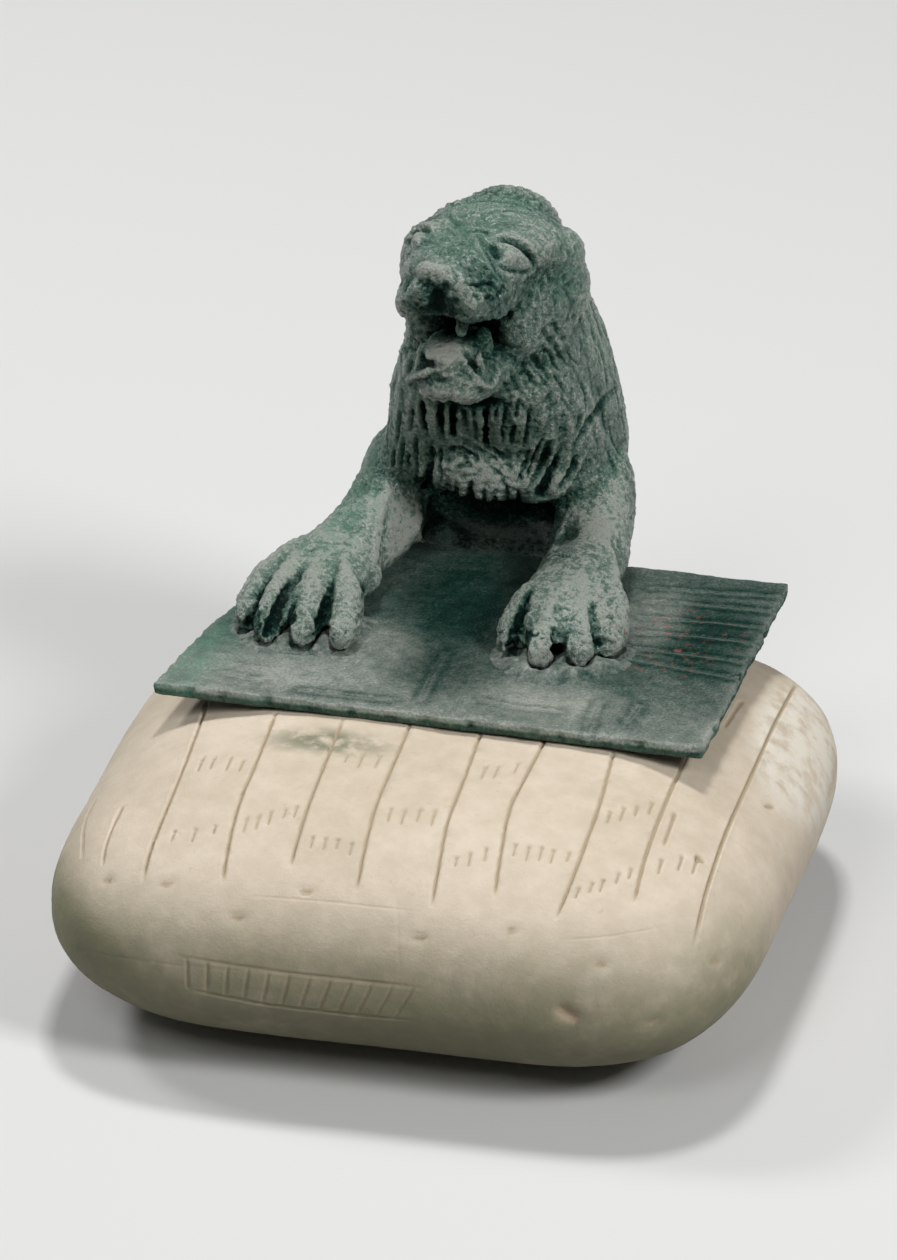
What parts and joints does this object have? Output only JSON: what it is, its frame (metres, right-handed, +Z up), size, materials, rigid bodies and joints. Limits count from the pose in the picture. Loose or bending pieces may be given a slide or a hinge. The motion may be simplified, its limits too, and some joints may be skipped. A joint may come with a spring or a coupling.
{
  "type": "lion foundation peg",
  "caption": "Foundation deposit: a cast lion forepart on a peg, paws on a thin ruled plate that rests on a pillow-shaped stone tablet.",
  "frame": {"origin": "centre of the stone tablet's flat base", "axes": "+Z up, -Y the way the lion faces, +X to the viewer's right"},
  "size_m": [0.109, 0.1308, 0.1018],
  "materials": {
    "limestone": "rubbed smooth, matte",
    "plate_copper": "green-grey patina with red copper specks",
    "lion_copper": "dark green-grey patina, dusty on the raised parts",
    "join_metal": "rough crusted patina"
  },
  "bodies": {
    "tablet": {"stone_tablet": "limestone"},
    "figure": {"inscribed_plate": "plate_copper", "lion_casting": "lion_copper", "left_paw_join": "join_metal", "right_paw_join": "join_metal"}
  },
  "joints": [
    {"name": "figure_lift", "type": "slide", "parent": "tablet", "child": "figure", "axis": [0, 0, 1], "range_m": [0, 0.06]}
  ]
}
